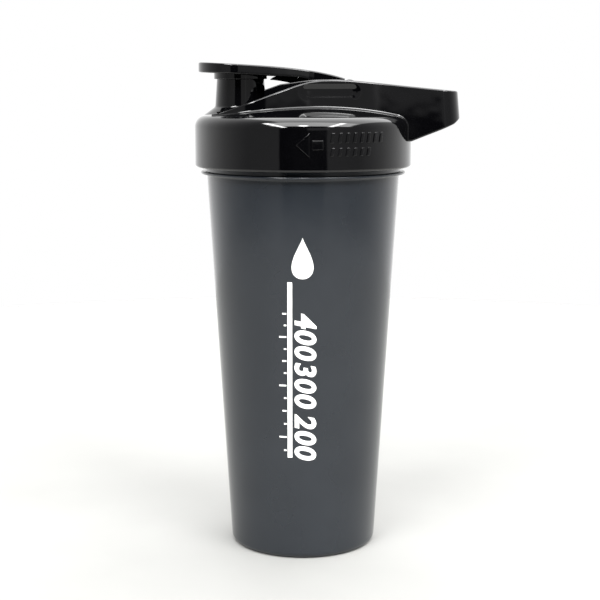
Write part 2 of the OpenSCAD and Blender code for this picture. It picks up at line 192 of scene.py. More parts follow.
def turned(name, outline, axis_x=0.0, steps=160):
    """A ring for each point of the outline; points on the axis become a pole."""
    pole = 0.04
    outline = [(max(r, pole), z) for r, z in outline]
    r, z = outline[0]
    bpy.ops.mesh.primitive_circle_add(vertices=steps, radius=r * MM, location=(axis_x * MM, 0, z * MM))
    piece = bpy.context.object
    piece.name = name
    bpy.ops.object.transform_apply(location=True, rotation=True, scale=True)
    bpy.ops.object.mode_set(mode="EDIT")
    bpy.ops.mesh.select_all(action="SELECT")
    for next_r, next_z in outline[1:]:
        bpy.ops.mesh.extrude_region_move(TRANSFORM_OT_translate={"value": (0, 0, (next_z - z) * MM)})
        centre = (axis_x * MM, 0, next_z * MM)
        bpy.ops.transform.resize(value=(next_r / r, next_r / r, 1), center_override=centre)
        r, z = next_r, next_z
    close_edit()
    for end_r, end_z in (outline[0], outline[-1]):
        if end_r > pole:
            continue
        open_edit(piece, "DESELECT")
        close_edit()
        for vertex in piece.data.vertices:
            x, y, z = vertex.co / MM
            vertex.select = hypot(x - axis_x, y) < 2 * pole and abs(z - end_z) < 0.01
        bpy.ops.object.mode_set(mode="EDIT")
        bpy.ops.mesh.merge(type="CENTER")
        close_edit()
    weld(piece)
    return piece


def filled(name, outline, y=0):
    """A flat face with an outline in the X-Z plane."""
    bpy.ops.mesh.primitive_circle_add(vertices=len(outline), radius=MM, fill_type="NGON")
    piece = bpy.context.object
    piece.name = name
    for vertex, (x, z) in zip(piece.data.vertices, outline):
        vertex.co = Vector((x, y, z)) * MM
    return piece


def slab(name, outline, half_w):
    """An outline in the X-Z plane, filled and extruded across the bottle."""
    piece = filled(name, outline, -half_w)
    open_edit(piece)
    bpy.ops.mesh.extrude_region_move(TRANSFORM_OT_translate={"value": (0, 2 * half_w * MM, 0)})
    close_edit()
    weld(piece)
    return piece


def wrapped(name, place, rows, columns):
    """A flat grid whose crossings move to place(row, column)."""
    bpy.ops.mesh.primitive_grid_add(x_subdivisions=columns - 1, y_subdivisions=rows - 1, size=MM)
    piece = bpy.context.object
    piece.name = name
    for index, vertex in enumerate(piece.data.vertices):
        row, column = divmod(index, columns)
        vertex.co = Vector(place(row, column)) * MM
    weld(piece)
    return piece


def apply_modifier(piece, kind, **settings):
    pick(piece)
    modifier = piece.modifiers.new(kind.title(), kind)
    for key, value in settings.items():
        setattr(modifier, key, value)
    bpy.ops.object.modifier_apply(modifier=modifier.name)


def bevel(piece, width, segments=3, angle=35):
    apply_modifier(piece, "BEVEL", width=width * MM, segments=segments, limit_method="ANGLE",
                   angle_limit=radians(angle))


def bar(name, x, z, r, half_len, edge, steps=96):
    """A round bar across the bottle, with bevelled ends."""
    bpy.ops.mesh.primitive_cylinder_add(vertices=steps, radius=r * MM, depth=2 * half_len * MM,
                                        location=(x * MM, 0, z * MM), rotation=(pi / 2, 0, 0))
    piece = bpy.context.object
    piece.name = name
    bpy.ops.object.transform_apply(location=True, rotation=True, scale=True)
    bevel(piece, edge)
    return piece


def cut(piece, tool):
    apply_modifier(piece, "BOOLEAN", object=tool, operation="DIFFERENCE", solver="EXACT")
    bpy.data.objects.remove(tool)


def sliced(piece, first, last):
    """Cuts flat marks at every whole millimetre across, so that they can bend round the bottle."""
    for x in range(first, last + 1):
        open_edit(piece)
        bpy.ops.mesh.bisect(plane_co=(x * MM, 0, 0), plane_no=(1, 0, 0))
        close_edit()


def joined(first, *others):
    pick(first)
    for other in others:
        other.select_set(True)
    bpy.ops.object.join()
    return first


smooth_angle = radians(32)


def finished(piece, body, finish, nodes=()):
    """Smooth shading, its material, the body that it rides on, and the nodes that it stands for, which are
    hidden.
    """
    pick(piece)
    bpy.ops.object.shade_smooth_by_angle(angle=smooth_angle)
    apply_modifier(piece, "WEIGHTED_NORMAL", weight=80, keep_sharp=True)
    piece.data.materials.clear()
    piece.data.materials.append(finish)
    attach(piece, body)
    if nodes:
        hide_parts(*nodes)
    print(f"{piece.name}: {len(piece.data.polygons)} faces")


print("the modelling functions are ready")

# %% [markdown]
# ## Materials
# The whole bottle is moulded plastic, and what tells its parts apart is the finish. The lid, handle and cap
# are polished black, so they need a low roughness and the slight waviness that a mould leaves under gloss.
# The cup is a satin charcoal with a faint cloudiness in the resin. Each finish is built from nodes in object
# space: a little colour variation, a little variation in roughness, and a bump at a real scale. The seals
# are dull silicone, the mixer is dark polypropylene from an unpolished mould, and the print is a flat film of
# ink. The grain of a satin mould is finer than a render can show, so it is drawn at about half a millimetre.


# %% Material functions
def hex_colour(code):
    values = [int(code[i:i + 2], 16) / 255 for i in (1, 3, 5)]
    return tuple(c / 12.92 if c <= 0.04045 else ((c + 0.055) / 1.055) ** 2.4 for c in values) + (1.0,)


def add_node(tree, kind, settings=None, *inputs, **links):
    """Adds a node with its settings. Inputs are values or sockets in order, and links are named sockets."""
    node = tree.nodes.new(kind)
    for key, value in (settings or {}).items():
        if key in node.inputs:
            node.inputs[key].default_value = value
        else:
            setattr(node, key, value)
    for socket, source in zip(node.inputs, inputs):
        if isinstance(source, bpy.types.NodeSocket):
            tree.links.new(source, socket)
        else:
            socket.default_value = source
    for key, source in links.items():
        tree.links.new(source, node.inputs[key.replace("_", " ")])
    return node


def moulded(name, dark, light, rough, cloud_mm, ripple_mm, ripple, grain_mm=0.0, grain=0.0):
    """A moulded plastic: two close colours, a roughness range, and one or two bumps."""
    material = bpy.data.materials.new(name)
    material.use_nodes = True
    tree = material.node_tree
    tree.nodes.clear()
    place = add_node(tree, "ShaderNodeTexCoord").outputs["Object"]
    cloud = add_node(tree, "ShaderNodeTexNoise", {"Scale": 1 / (cloud_mm * MM), "Detail": 3.0}, Vector=place)
    ramp = add_node(tree, "ShaderNodeValToRGB", Fac=cloud.outputs["Fac"])
    ramp.color_ramp.elements[0].position, ramp.color_ramp.elements[0].color = 0.3, hex_colour(dark)
    ramp.color_ramp.elements[1].position, ramp.color_ramp.elements[1].color = 0.7, hex_colour(light)
    sheen = add_node(tree, "ShaderNodeMapRange", {"To Min": rough[0], "To Max": rough[1]},
                     Value=cloud.outputs["Fac"])
    wave = add_node(tree, "ShaderNodeTexNoise", {"Scale": 1 / (ripple_mm * MM), "Detail": 1.0}, Vector=place)
    bump = add_node(tree, "ShaderNodeBump", {"Strength": 1.0, "Distance": ripple * MM},
                    Height=wave.outputs["Fac"])
    if grain:
        spark = add_node(tree, "ShaderNodeTexNoise", {"Scale": 1 / (grain_mm * MM), "Detail": 2.0},
                         Vector=place)
        bump = add_node(tree, "ShaderNodeBump", {"Strength": 1.0, "Distance": grain * MM},
                        Height=spark.outputs["Fac"], Normal=bump.outputs["Normal"])
    skin = add_node(tree, "ShaderNodeBsdfPrincipled", Base_Color=ramp.outputs["Color"],
                    Roughness=sheen.outputs["Result"], Normal=bump.outputs["Normal"])
    add_node(tree, "ShaderNodeOutputMaterial", Surface=skin.outputs["BSDF"])
    return material


gloss_black = moulded("polished_black_abs", "#020203", "#040405", (0.04, 0.08), 14, 9, 0.05)
satin_charcoal = moulded("satin_charcoal_polypropylene", "#191d22", "#1e2227", (0.13, 0.2), 26, 12, 0.03,
                         grain_mm=0.6, grain=0.004)
black_silicone = moulded("matt_black_silicone", "#1b1c1d", "#232425", (0.5, 0.6), 8, 4, 0.02,
                         grain_mm=0.4, grain=0.006)
dark_polypropylene = moulded("dark_grey_polypropylene", "#2a2b2e", "#313236", (0.36, 0.44), 12, 6, 0.02,
                             grain_mm=0.5, grain=0.004)
white_ink = moulded("white_screen_ink", "#f4f4f2", "#fafaf8", (0.3, 0.4), 10, 5, 0.004,
                    grain_mm=0.5, grain=0.003)
print("materials:", sorted(m.name for m in bpy.data.materials))

# %% [markdown]
# ## The cup
# The cup is one injection-moulded shell: a straight taper with a rounded foot, a thin flange on a concave
# fillet, and a neck that the lid screws over. It could be cut from a cone and shelled, but a turned outline
# gives each corner its own radius and keeps the wall even.

# %% Cup
cup_base_r = 34
cup_top_r = 44.4
cup_body_h = 173.6
cup_wall = 1.9
neck_r = 45.2
flange_z = 175.4
neck_z = 176.6
foot_hollow = 1.5
floor_z = 3.5
inner_base_r = cup_base_r - cup_wall + 0.2

cup_outline = softened([
    (0, foot_hollow), (26.4, foot_hollow, 0.6), (27.8, 0, 0.6), (cup_base_r, 0, 3),
    (cup_top_r, cup_body_h), (cup_top_r + 0.1, flange_z, 1.5), (flange_r, flange_z, 0.5),
    (flange_r, neck_z, 0.55), (neck_r, neck_z, 0.3), (neck_r, rim_z, 0.6),
    (neck_r - cup_wall, rim_z, 0.4), (neck_r - cup_wall, neck_z, 1), (cup_top_r - cup_wall, cup_body_h, 2),
    (inner_base_r, floor_z, 5), (0, floor_z)])
cup = turned("cup_shell", cup_outline, steps=192)

# %% [markdown]
# The outside of the neck carries the screw thread. It is a ridge that climbs five millimetres in a turn and
# fades into the neck at both ends, so it is a grid of a few rows wrapped around the helix.

# %% Cup thread
thread_pitch = 5
thread_turns = 1.25
thread_depth = 1.9
thread_start = 5.2
thread_sink = 0.4
thread_low = rim_z - thread_start - thread_pitch * thread_turns
thread_steps = 150


def on_thread(row, column):
    turn = 2 * pi * thread_turns * column / (thread_steps - 1)
    ends = min(turn, 2 * pi * thread_turns - turn) / radians(30)
    rise = min(1, ends) * (thread_depth + thread_sink) - thread_sink
    out, half = [(-thread_sink, 1.1), (rise - 0.15, 0.68), (rise, 0.5), (rise, -0.5), (rise - 0.15, -0.68),
                 (-thread_sink, -1.1)][row]
    z = thread_low + thread_pitch * turn / (2 * pi) + half
    return (neck_r + out) * cos(turn), (neck_r + out) * sin(turn), z


cup = joined(cup, wrapped("thread", on_thread, 6, thread_steps))
finished(cup, "cup_body", satin_charcoal, ["cup"])

# %% [markdown]
# ## The lid
# The lid is a domed cover with a tall skirt. Skirt, shoulder and dome run into each other without an edge,
# and the hem is rolled under. Inside it has a groove for the gasket and a lip that reaches into the cup.
# The outline starts under the dome, goes round the lip, down the bore, and back over the outside.

# %% Lid
shoulder_r = 5.5
dome_r = 193
dome_wall = 2.4
lid_bore_r = 47.6
lip_r = 42.6
lip_wall = 2
lip_h = 6
hem_r = 1.2
lid_roof = 3.2
skirt_top_z = seat_z + lid_roof - shoulder_r
shoulder_x = lid_r - shoulder_r
dome_tilt = asin(shoulder_x / (dome_r - shoulder_r))
dome_edge_r = dome_r * sin(dome_tilt)
dome_centre_z = skirt_top_z + shoulder_r * cos(dome_tilt) - dome_r * cos(dome_tilt)
dome_z = dome_centre_z + dome_r


def lid_surface(r):
    """The lid's outside at a distance from the axis."""
    if r < dome_edge_r:
        return dome_centre_z + sqrt(dome_r ** 2 - r ** 2)
    return skirt_top_z + sqrt(max(0, shoulder_r ** 2 - (r - shoulder_x) ** 2))


def dome_line(grow, inner_r, outer_r, steps=24):
    """Points up the dome from outer_r to inner_r, grown outwards or inwards."""
    low = asin(outer_r / (dome_r + grow))
    high = asin(inner_r / (dome_r + grow))
    angles = [low + (high - low) * i / steps for i in range(steps + 1)]
    return [((dome_r + grow) * sin(a), dome_centre_z + (dome_r + grow) * cos(a)) for a in angles]


lid_outline = list(reversed(dome_line(-dome_wall, 0, lip_r - lip_wall)))
lid_outline += softened([
    lid_outline[-1], (lip_r - lip_wall, seat_z - lip_h, 0.6), (lip_r, seat_z - lip_h, 0.6),
    (lip_r, seat_z, 0.3), (lid_bore_r, seat_z, 0.3), (lid_bore_r, skirt_z + 0.3)])[1:]
lid_outline += arc(lid_r - hem_r, skirt_z + hem_r, hem_r, -90, 0, 6)
lid_outline += arc(shoulder_x, skirt_top_z, shoulder_r, 0, 90 - dome_tilt / radians(1), 16)
lid_outline += dome_line(0, 0, dome_edge_r)[1:]
lid = turned("lid_cover", lid_outline, steps=192)

# %% [markdown]
# The spout stands on the dome over a short cone. On the real lid both are part of one moulding, so the spout
# is a turned ring whose foot is trimmed by the hollow of the lid, and the dome has a hole under it. The mouth
# has a rolled edge, because a drinker's lip touches it.

# %% Spout and rod socket
spout_r = 10.85
spout_foot_r = 11.75
spout_bore_r = 8.85
spout_drop = 1.7
spout_low_z = 197
toe = 5
toe_spread = 1.4
toe_r = spout_foot_r + toe_spread * toe
hole_r = spout_bore_r + 0.9
hole_low_z, hole_high_z = 190, 215
hollow_low_z = 185
hollow_r = lid_bore_r + 0.5

hole = turned("hole", [(0, hole_low_z), (hole_r, hole_low_z), (hole_r, hole_high_z), (0, hole_high_z)],
              spout_x, 96)
cut(lid, hole)
spout = turned("spout", softened([
    (spout_bore_r, spout_low_z), (toe_r, spout_low_z), (toe_r, dome_z - spout_drop - toe),
    (spout_foot_r, dome_z - spout_drop, 1.6), (spout_r, spout_z, 0.75), (spout_bore_r, spout_z, 0.7),
    (spout_bore_r, spout_low_z)]), spout_x, 128)
hollow = turned("hollow", [(0, hollow_low_z), (hollow_r, hollow_low_z), (hollow_r, seat_z + 0.5),
                           (dome_edge_r, seat_z + 0.5)]
                + dome_line(-dome_wall + 1.2, 0, 45), steps=128)
cut(spout, hollow)
socket_bore_r, socket_r = 4.05, 6.65
socket_low_z, socket_high_z = 190.56, 203.5
socket = turned("rod_socket", softened([
    (socket_bore_r, socket_high_z), (socket_bore_r, socket_low_z), (socket_r, socket_low_z, 0.4),
    (socket_r, socket_high_z + 0.5), (socket_bore_r, socket_high_z)]), steps=64)
lid = joined(lid, spout, socket)
finished(lid, "lid_body", gloss_black, ["lid_shell"])

# %% [markdown]
# ## The carry handle
# Seen from above the handle is one band: it starts beside the spout, is widest just behind it, and narrows
# past the hinge to a loop behind the lid. Seen from the side its top edge climbs in a straight line to a
# knee, rounds over a crest and falls to the loop's end. So it is a wall of even thickness that follows the
# plan outline, with its top and bottom edges taken from the side outline. A wrapped grid keeps both edges
# truly rounded.

# %% Handle outlines
arm_wall = 3.4
arm_edge = 0.75
loop_half_w = 16
loop_corner = 9
tip = (-(dome_edge_r - 2.3), 17)
widest = (spout_x + 9, arm_half_w)
loop_start = (lid_r, loop_half_w)
loop_turn = (loop_x - loop_corner, loop_half_w - loop_corner)
plan = cubic(tip, (tip[0] + 3, tip[1] + 6), (widest[0] - 10, arm_half_w), widest, 40)
plan += cubic(widest, (widest[0] + 22, arm_half_w), (loop_start[0] - 26, loop_half_w + 1.6), loop_start,
              190)[1:]
plan += cubic(loop_start, (54, loop_half_w), (58, loop_half_w), (loop_turn[0], loop_half_w), 12)[1:]
plan += arc(*loop_turn, loop_corner, 90, 0, 18)[1:]
plan += [(loop_x, loop_turn[1] * (1 - i / 8)) for i in range(1, 9)]
plan += [(x, -y) for x, y in reversed(plan[:-1])]

rise = tan(radians(19.5))
knee = (hinge_x - 29, crest_z - 4.4)
crest_x = hinge_x - 7.5
loop_top_z = crest_z - 5.1
arm_top = [(tip[0] - 3, knee[1] - (knee[0] - tip[0] + 3) * rise)]
arm_top += cubic(knee, (knee[0] + 7, knee[1] + 7 * rise), (crest_x - 8.5, crest_z), (crest_x, crest_z))
arm_top += cubic((crest_x, crest_z), (crest_x + 11.5, crest_z), (loop_x - 26, loop_top_z + 2),
                 (loop_x, loop_top_z))[1:]
loop_under = [(lid_r - 1, loop_foot_z), (loop_x - 3, loop_top_z - 14.8), (loop_x, loop_top_z - 12.6)]
print(f"the band is {len(plan)} stations long and its crest is at {crest_z:.1f} mm")


# %% [markdown]
# The band's outer face has a shallow oval scoop beside the hinge, which saves plastic and gives a finger a
# place to push. The scoop has soft edges. The band's foot meets the lid in a small concave fillet, the bright
# line that runs under the arm, and that fillet is swept along the meeting line as a strip of its own.

# %% Handle band
scoop_x0, scoop_x1 = hinge_x - 22.5, hinge_x + 4.5
scoop_z = dome_z + 5.3
scoop_r = 3.7
scoop_depth = 0.6


def outward(i):
    """The direction that points out of the band's plan at station i."""
    (x0, y0), (x1, y1) = plan[max(i - 1, 0)], plan[min(i + 1, len(plan) - 1)]
    return Vector((y0 - y1, x1 - x0)).normalized()


def scoop(x, z):
    """How deep the oval scoop is at a place on the outer face."""
    along = min(max(x, scoop_x0 + scoop_r), scoop_x1 - scoop_r)
    inside = scoop_r - hypot(x - along, z - scoop_z)
    return scoop_depth * smooth(inside, -0.5, 3.2)


def band_bottom(x, y):
    if x > lid_r - 3.9:
        return height(loop_under, x)
    return min(lid_surface(hypot(x, y)) - 1.3, height(arm_top, x) - 1)


def lean(x, z):
    """The loop's end leans out a little towards its bottom."""
    return smooth(x, 50, loop_x) * (0.5 - 1.2 * (z - 200) / 13)


face_rows = 40
edge_turns = (0, 22.5, 45, 67.5, 90)


def on_band(row, column):
    x, y = plan[column]
    away = outward(column)
    top, bottom = height(arm_top, x), band_bottom(x, y)
    edge = min(arm_edge, (top - bottom) / 2.2)
    rows = []
    for t in edge_turns:
        rows.append((edge - edge * sin(radians(t)), bottom + edge - edge * cos(radians(t))))
    rows += [(0, bottom + edge + (top - bottom - 2 * edge) * k / face_rows) for k in range(1, face_rows)]
    for t in edge_turns:
        rows.append((edge - edge * cos(radians(t)), top - edge + edge * sin(radians(t))))
    for t in edge_turns:
        rows.append((arm_wall - edge + edge * sin(radians(t)), top - edge + edge * cos(radians(t))))
    for t in edge_turns:
        rows.append((arm_wall - edge + edge * cos(radians(t)), bottom + edge - edge * sin(radians(t))))
    rows.append(rows[0])
    inset, z = rows[row]
    if inset == 0:
        inset = scoop(x, z)
    return x - away[0] * inset + lean(x, z), y - away[1] * inset, z


band_rows = 4 * len(edge_turns) + face_rows
band = wrapped("carry_handle", on_band, band_rows, len(plan))

# %% Foot fillet
fillet_r = 0.9
fillet_steps = 6


def lid_normal(r, x, y):
    if r < dome_edge_r:
        up = sqrt(1 - (r / dome_r) ** 2)
        return Vector((x / dome_r, y / dome_r, up))
    tilt = min(1, (r - shoulder_x) / shoulder_r)
    return Vector((x / r * tilt, y / r * tilt, sqrt(max(0, 1 - tilt ** 2))))


def meeting_line(inset):
    """Where the band's outer or inner face meets the lid: point, face normal and lid normal."""
    line = []
    for i, (x, y) in enumerate(plan[:len(plan) // 2]):
        away = outward(i)
        side = Vector((away[0], away[1], 0)) * (1 if inset == 0 else -1)
        x, y = x - away[0] * inset, y - away[1] * inset
        r = hypot(x, y)
        if r >= lid_r - 0.02:
            break
        if lid_surface(r) < height(arm_top, x) - 0.1:
            line.append((Vector((x, y, lid_surface(r))), side, lid_normal(r, x, y)))
    last, side, _ = line[-1]
    low = loop_foot_z + 0.4
    for k in range(1, 13):
        line.append((Vector((last[0], last[1], last[2] + (low - last[2]) * k / 12)), side,
                     Vector((last[0], last[1], 0)).normalized()))
    return line


def fillet_strip(name, inset, flip):
    line = meeting_line(inset)

    def on_fillet(row, column):
        point, side, face = line[column]
        middle = point + (side + face) * (fillet_r / (1 + side.dot(face)))
        toward = (-side).slerp(-face, row / fillet_steps) * (fillet_r + 0.01)
        x, y, z = middle + toward
        return x, flip * y, z

    return wrapped(name, on_fillet, fillet_steps + 1, len(line))


strips = [fillet_strip("fillet", inset, flip) for inset in (0, arm_wall) for flip in (1, -1)]
band = joined(band, *strips)

# %% [markdown]
# Between the band and the cap's neck the handle is filled to a deck, and a cheek stands up on each side of
# the neck to carry the hinge. The cheeks' front ends are a little higher than the band. Each deck is a bar of
# changing section, so it is a wrapped grid as well, closed at both ends, and the hinge sockets are bored
# last.

# %% Decks and cheeks
channel_w = 12.6
cheek_out = 16.2
cheek_rise = 3.1
cheek_x = spout_x + spout_foot_r - 0.4
cheek_back = hinge_x + 6.4
front_run = knee[0] - cheek_x
cheek_top = [(cheek_x, knee[1] - front_run * rise + cheek_rise)]
cheek_top += cubic((knee[0] - 2, knee[1] + cheek_rise - 2 * rise), (knee[0] + 3, knee[1] + cheek_rise - 0.3),
                   (crest_x - 12, crest_z), (crest_x - 4, crest_z))
cheek_top += [(cheek_back, crest_z - 1.2)]
half_plan = [p for p in plan[:len(plan) // 2] if p[0] <= lid_r]
deck_stations = 60
deck_edge = 0.45


def deck_section(x):
    """The deck's outline across the bottle at x, from the channel outwards and back underneath."""
    top, cheek = height(arm_top, x) - 1.5, height(cheek_top, x)
    reach = height(half_plan, x) - arm_wall + 0.8
    low = lid_surface(channel_w) - 3.2
    base = min(low, lid_surface(hypot(x, reach)) - 1.2)
    step = max(cheek - top, 0.05)
    return softened([
        (channel_w, base), (channel_w, cheek, deck_edge), (cheek_out, cheek, min(deck_edge, step)),
        (cheek_out + 0.3, top, min(0.6, step)), (reach, top), (reach, base), (channel_w, base)], 4)


def deck(name, flip):
    last = deck_stations - 1

    def on_deck(row, column):
        x = cheek_x + (cheek_back - cheek_x) * min(max(column - 1, 0), last - 2) / (last - 2)
        section = deck_section(x)
        y, z = section[row]
        if column in (0, last):
            y, z = (channel_w + cheek_out) / 2, lid_surface(20)
        return x, flip * y, z

    return wrapped(name, on_deck, len(deck_section(0)), deck_stations)


pin_r = 2.2
pin_gap = 0.05
bore_half_len = 15.9
for flip in (1, -1):
    side = deck("deck", flip)
    bore = bar("bore", hinge_x, hinge_z, pin_r + pin_gap, bore_half_len, 0.1, 48)
    cut(side, bore)
    band = joined(band, side)
finished(band, "lid_body", gloss_black, ["carry_handle"])

# %% [markdown]
# ## The flip cap
# The cap is a flat paddle that covers the spout and narrows to a knuckle between the cheeks. Its top runs
# down in one long curve. The rim is turned over all round, and the underside is hollow to keep the plastic
# even. The grid goes from the middle of the underside, round the rim, to the middle of the top.

# %% Cap paddle
cap_neck = 12
cap_skin = 1.9
knuckle_r = 3.9
cap_slope = tan(radians(2.8))
cap_neck_x = hinge_x - 17
cap_edge = 0.7
cap_thick = 4.6
under_z = cap_top_z - cap_thick - cap_r * cap_slope
bend_x = hinge_x - 22
cap_under = [(cap_tip_x, under_z + cap_r * cap_slope),
             (bend_x, under_z - (bend_x - spout_x) * cap_slope), (hinge_x - knuckle_r, hinge_z)]
cap_top = cubic((cap_tip_x, cap_top_z), (cap_tip_x + 26, cap_top_z - 1.4),
                (cap_neck_x, hinge_z + knuckle_r + 5.9),
                (hinge_x - knuckle_r * sin(radians(10)), hinge_z + knuckle_r * cos(radians(10))), 60)
cap_plan = arc(spout_x, 0, cap_r, 180, 90, 48)
cap_plan += [(spout_x + (cap_neck_x - spout_x) * i / 24, cap_r + (cap_neck - cap_r) * i / 24)
             for i in range(1, 25)]
cap_plan += [(cap_neck_x + (hinge_x - 2 - cap_neck_x) * i / 10, cap_neck) for i in range(1, 11)]
hollow_end = hinge_x - 24


def cap_away(i):
    (x0, y0), (x1, y1) = cap_plan[max(i - 1, 0)], cap_plan[min(i + 1, len(cap_plan) - 1)]
    if i == 0:
        return Vector((-1, 0))
    return Vector((-(y1 - y0), x1 - x0)).normalized()


def cap_rows(x):
    """Inset from the rim and height, from the hollow's middle round the rim to the top."""
    top, under = height(cap_top, x), height(cap_under, x)
    deep = smooth(hollow_end - x, 0, 1.5)
    ceiling = under + (top - cap_skin - under) * deep
    lip = under + 0.02
    rows = [(None, ceiling), (cap_skin + 0.9, ceiling), (cap_skin + 0.3, ceiling - 0.3 * deep),
            (cap_skin, ceiling - 0.9 * deep), (cap_skin, lip + 0.3 * deep), (cap_skin - 0.3, lip)]
    edge = min(cap_edge, (top - under) / 2.3)
    for t in edge_turns:
        rows.append((edge - edge * sin(radians(t)), under + edge - edge * cos(radians(t))))
    for t in edge_turns:
        rows.append((edge - edge * cos(radians(t)), top - edge + edge * sin(radians(t))))
    rows.append((1.6, top))
    rows.append((None, top))
    return rows


def on_cap(row, column):
    x, y = cap_plan[column]
    away = cap_away(column)
    inset, z = cap_rows(x)[row]
    if inset is None:
        return x - away[0] * 3, 0, z
    return x - away[0] * inset, max(0, y - away[1] * inset), z


paddle = wrapped("flip_cap", on_cap, len(cap_rows(0)), len(cap_plan))
apply_modifier(paddle, "MIRROR", use_axis=(False, True, False), use_mirror_merge=True,
               merge_threshold=0.002 * MM)
weld(paddle)

# %% [markdown]
# Under the paddle a thin collar closes around the spout, and a deeper tongue runs back to the knuckle. The
# knuckle is a round bar between the cheeks, and its two short pins turn in the cheeks' sockets.

# %% Cap collar, tongue and knuckle
collar_r = spout_r + 0.45
collar_out = collar_r + 0.9
collar_low_z, collar_high_z = spout_z - 1, 223
collar = turned("collar", softened([
    (collar_r, collar_high_z), (collar_r, collar_low_z, 0.2), (collar_out, collar_low_z, 0.3),
    (collar_out, collar_high_z), (collar_r, collar_high_z)]), spout_x, 128)
nose = (hinge_x - 36, hinge_z + 3.7)
nose_top = (hinge_x - 30, height(cap_under, hinge_x - 30) + 0.6)
tongue_outline = cubic(nose, (nose[0] + 2, nose[1] + 1.8), (nose_top[0] - 3, nose_top[1] - 0.4), nose_top, 8)
tongue_outline += [(hinge_x - 4, hinge_z + knuckle_r - 2), (hinge_x, hinge_z)]
tongue_outline += cubic((hinge_x, hinge_z - knuckle_r), (hinge_x - 12, hinge_z - knuckle_r),
                        (nose[0] + 14, nose[1] - 0.9), nose, 20)[:-1]
tongue = slab("tongue", tongue_outline, cap_neck - 3)
bevel(tongue, 0.5)
knuckle = bar("knuckle", hinge_x, hinge_z, knuckle_r, cap_neck, 0.5)
pins = bar("pins", hinge_x, hinge_z, pin_r, channel_w + 3, 0.3, 48)
paddle = joined(paddle, collar, tongue, knuckle, pins)
finished(paddle, "cap_body", gloss_black, ["flip_cap"])

# %% [markdown]
# ## Seals
# Two soft seals keep the bottle tight. One is a disc that is pressed into the cap and plugs the spout, and
# the other is a ring between the lid and the cup's rim. Both are silicone, so their edges are rounded and
# their finish is matt.

# %% Spout seal and gasket
plug_r = 8.35
seal_wall = 1.6
seal_z = seal_high[2] - seal_wall
plug_in = plug_r - seal_wall
seal = turned("spout_seal", softened([
    (0, seal_z), (plug_in, seal_z, 0.5), (plug_in, seal_low[2], 0.4), (plug_r, seal_low[2], 0.7),
    (plug_r, seal_z, 0.3), (seal_r, seal_z, 0.4), (seal_r, seal_high[2], 0.4), (0, seal_high[2])]),
    spout_x, 96)
finished(seal, "cap_body", black_silicone, ["spout_seal"])
gasket_in, gasket_out = lip_r + 0.3, gasket_high[1]
gasket = turned("lid_gasket", softened([
    (gasket_in, rim_z + 0.9), (gasket_in, rim_z, 0.5), (gasket_out, rim_z, 0.5), (gasket_out, seat_z, 0.5),
    (gasket_in, seat_z, 0.5), (gasket_in, rim_z + 0.9)]))
finished(gasket, "gasket_body", black_silicone, ["lid_gasket"])

# %% [markdown]
# ## The mixer
# A rod hangs in a socket under the dome and carries a sleeve with three tiers of prongs, which break up the
# powder as the bottle is shaken. The rod is turned, with a snap bead that holds it in its socket. A prong is
# a small bar with a rounded end, and a loop sets them out with each tier turned by half a step.

# %% Mixing rod and head
rod_z, rod_top = rod_low[2], rod_high[2]
rod_r, disc_r, journal_r, bead_r = 2.6, 5.6, 4, 4.5
socket_mouth_z = 190.557
disc_low, disc_high = socket_mouth_z - 2.7, socket_mouth_z - 1.5
bead_low = socket_mouth_z + 7.8
bead_high = bead_low + 1.6
rod = turned("mixing_rod", softened([
    (0, rod_z), (rod_r, rod_z, 1.2), (rod_r, disc_low, 0.8), (disc_r, disc_low, 0.4),
    (disc_r, disc_high, 0.4), (journal_r, disc_high, 0.3), (journal_r, bead_low, 0.4),
    (bead_r, bead_low, 0.4), (bead_r, bead_high, 0.4), (journal_r, bead_high, 0.4),
    (journal_r, rod_top, 0.8), (0, rod_top)]), steps=64)
finished(rod, "mixer_body", dark_polypropylene, ["mixing_rod"])
head_z, head_top = head_low[2], head_high[2]
sleeve_r = 4.6
head = turned("mixing_head", softened([
    (rod_r, head_z + 5), (rod_r, head_z, 0.3), (sleeve_r, head_z, 0.6), (sleeve_r, head_top, 0.6),
    (rod_r, head_top, 0.3), (rod_r, head_z + 5)]), steps=64)
tiers, prongs, tier_step, prong_start, prong_end, prong_r = 3, 4, 13, 3.4, 19, 1.7
prong_pieces = []
for tier in range(tiers):
    for k in range(prongs):
        turn = (k + tier / 2) * 2 * pi / prongs
        middle = (prong_end + prong_start) / 2
        prong_len = prong_end - prong_start
        bpy.ops.mesh.primitive_cylinder_add(
            vertices=32, radius=prong_r * MM, depth=prong_len * MM, rotation=(0, pi / 2, turn),
            location=(middle * cos(turn) * MM, middle * sin(turn) * MM,
                      (head_z + 2 + 2 * prong_r + tier * tier_step) * MM))
        prong = bpy.context.object
        bpy.ops.object.transform_apply(location=True, rotation=True, scale=True)
        bevel(prong, 1.3, 5)
        prong_pieces.append(prong)
head = joined(head, *prong_pieces)
finished(head, "mixer_body", dark_polypropylene, ["mixing_head"])

# %% [markdown]
# ## The printed scale
# The cup carries a white screen print: a tall bar, bold numbers that read down the cup, and a drop above
# them. The print here is a plain measuring scale, and each number stands at its true volume, which comes
# from the cup's inner taper. Ink follows the cup, so each flat mark is cut into narrow strips and laid on the
# cone.

# %% Marks of the scale
ink_out, ink_in = 0.06, 0.04
bar_x0, bar_x1 = -7.0, -4.9
scale_low, scale_high = 49, 130


def cup_radius(z):
    return cup_base_r + (cup_top_r - cup_base_r) * z / cup_body_h


def level(millilitres):
    """The height in the cup of a volume of drink."""
    z, volume, step = floor_z, 0.0, 0.1
    while volume < millilitres * 1000:
        volume += pi * (cup_radius(z) - cup_wall) ** 2 * step
        z += step
    return z


